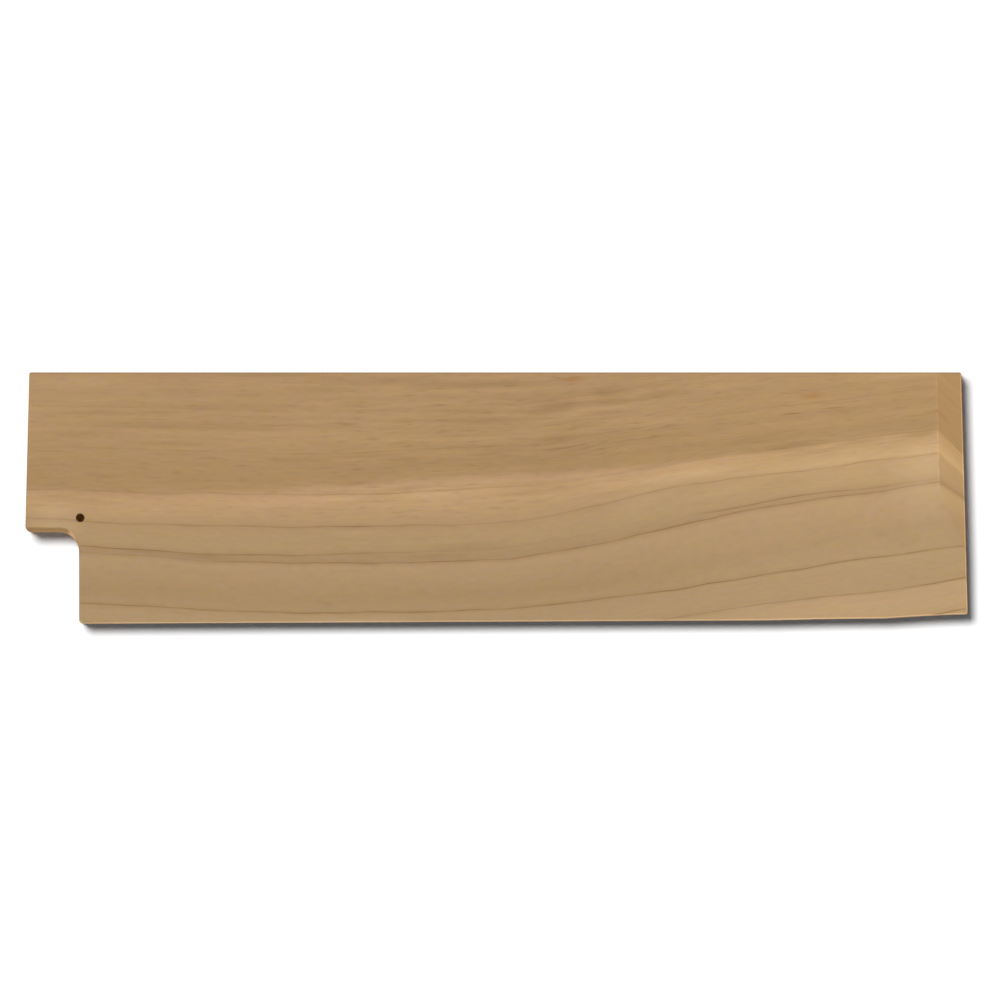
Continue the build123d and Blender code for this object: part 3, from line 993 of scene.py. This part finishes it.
class SHEATH_OT_peg(bpy.types.Operator):
    """Gives the locking peg smoked bamboo"""

    bl_idname = "sheath.peg"
    bl_label = "Finish the peg"

    def execute(self, context):
        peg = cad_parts["locking_pin"]
        peg.data.materials.clear()
        peg.data.materials.append(smoked_bamboo())
        return {"FINISHED"}


class SHEATH_OT_stage(bpy.types.Operator):
    """Adds the white ground, the lights and the camera"""

    bl_idname = "sheath.stage"
    bl_label = "Set the stage"

    def execute(self, context):
        scene, stage = context.scene, context.scene.sheath_stage
        scene.view_settings.view_transform = "Standard"

        grid = bmesh.new()
        bmesh.ops.create_grid(grid, x_segments=1, y_segments=1, size=PAPER_REACH)
        bmesh.ops.translate(grid, vec=(0, 0, CAD_LOW.z - PAPER_GAP), verts=grid.verts)
        mesh = bpy.data.meshes.new("ground")
        grid.to_mesh(mesh)
        grid.free()
        ground = bpy.data.objects.new("ground", mesh)
        scene.collection.objects.link(ground)
        mesh.materials.append(white_paper())

        sun = bpy.data.lights.new("key", "SUN")
        tilt, turn = stage.key_tilt, stage.key_turn
        sun.energy = math.pi * stage.key_share / math.cos(tilt)
        sun.angle = stage.key_softness
        key = bpy.data.objects.new("key", sun)
        scene.collection.objects.link(key)
        level = math.sin(tilt)
        towards = Vector((level * math.cos(turn), level * math.sin(turn), math.cos(tilt)))
        key.rotation_euler = towards.to_track_quat("Z", "Y").to_euler()

        scene.world = pale_sky(1 - stage.key_share)

        lens = bpy.data.cameras.new("camera")
        lens.lens = stage.lens
        camera = bpy.data.objects.new("camera", lens)
        distance = stage.picture_width * lens.lens / lens.sensor_width
        camera.location = (stage.picture_x, stage.picture_y, CAD_HIGH.z + distance)
        lens.clip_end = 4 * distance
        scene.collection.objects.link(camera)
        scene.camera = camera
        return {"FINISHED"}


def white_paper():
    """Matt white paper: evenly pale, with no sheen."""
    stage = bpy.context.scene.sheath_stage
    material, tree = new_material("White paper")
    ray = add_node(tree, "LightPath").outputs["Is Camera Ray"]
    shade = add_node(tree, "MapRange", [ray, 0.0, 1.0, stage.paper_shade, 1.0])
    paper = add_node(tree, "BsdfDiffuse", {"Color": shade})
    glow = add_node(tree, "Math", [ray, stage.paper_glow], operation="MULTIPLY")
    glow = add_node(tree, "Emission", {"Color": (*stage.glow_colour, 1.0), "Strength": glow})
    surface = add_node(tree, "AddShader", [paper, glow])
    add_node(tree, "OutputMaterial", {"Surface": surface})
    return material


def pale_sky(strength):
    """Even white light, which the camera and reflections see as plain white."""
    world = bpy.data.worlds.new("Pale sky")
    world.use_nodes = True
    tree = world.node_tree
    tree.nodes.clear()
    path = add_node(tree, "LightPath")
    seen = path.outputs["Is Camera Ray"]
    for other in ("Is Glossy Ray", "Is Transmission Ray"):
        seen = add_node(tree, "Math", [seen, path.outputs[other]], operation="MAXIMUM")
    level = add_node(tree, "MapRange", [seen, 0.0, 1.0, strength, 1.0])
    sky = add_node(tree, "Background", {"Color": (1.0, 1.0, 1.0, 1.0), "Strength": level})
    add_node(tree, "OutputWorld", {"Surface": sky})
    return world


class SHEATH_PT_panel(bpy.types.Panel):
    """Lists the sheath's steps and sizes"""

    bl_label = "Knife sheath"
    bl_space_type = "VIEW_3D"
    bl_region_type = "UI"
    bl_category = "Sheath"

    def draw(self, context):
        scene = context.scene
        for step in STEPS:
            self.layout.operator(step.bl_idname)
        for settings in (scene.sheath_wood, scene.sheath_peg, scene.sheath_stage):
            box = self.layout.box()
            for name in settings.__annotations__:
                box.prop(settings, name)


STEPS = (SHEATH_OT_boards, SHEATH_OT_peg, SHEATH_OT_stage)
CLASSES = (SheathWood, SheathPeg, SheathStage, *STEPS, SHEATH_PT_panel)


def register():
    """Registers the classes and gives every scene the sheath's settings."""
    for cls in CLASSES:
        bpy.utils.register_class(cls)
    bpy.types.Scene.sheath_wood = PointerProperty(type=SheathWood)
    bpy.types.Scene.sheath_peg = PointerProperty(type=SheathPeg)
    bpy.types.Scene.sheath_stage = PointerProperty(type=SheathStage)


def unregister():
    """Takes the settings and the classes away again."""
    del bpy.types.Scene.sheath_stage
    del bpy.types.Scene.sheath_peg
    del bpy.types.Scene.sheath_wood
    for cls in reversed(CLASSES):
        bpy.utils.unregister_class(cls)


def main():
    """Finishes every piece in order."""
    register()
    bpy.ops.sheath.boards()
    bpy.ops.sheath.peg()
    bpy.ops.sheath.stage()


if __name__ == "__main__":
    main()
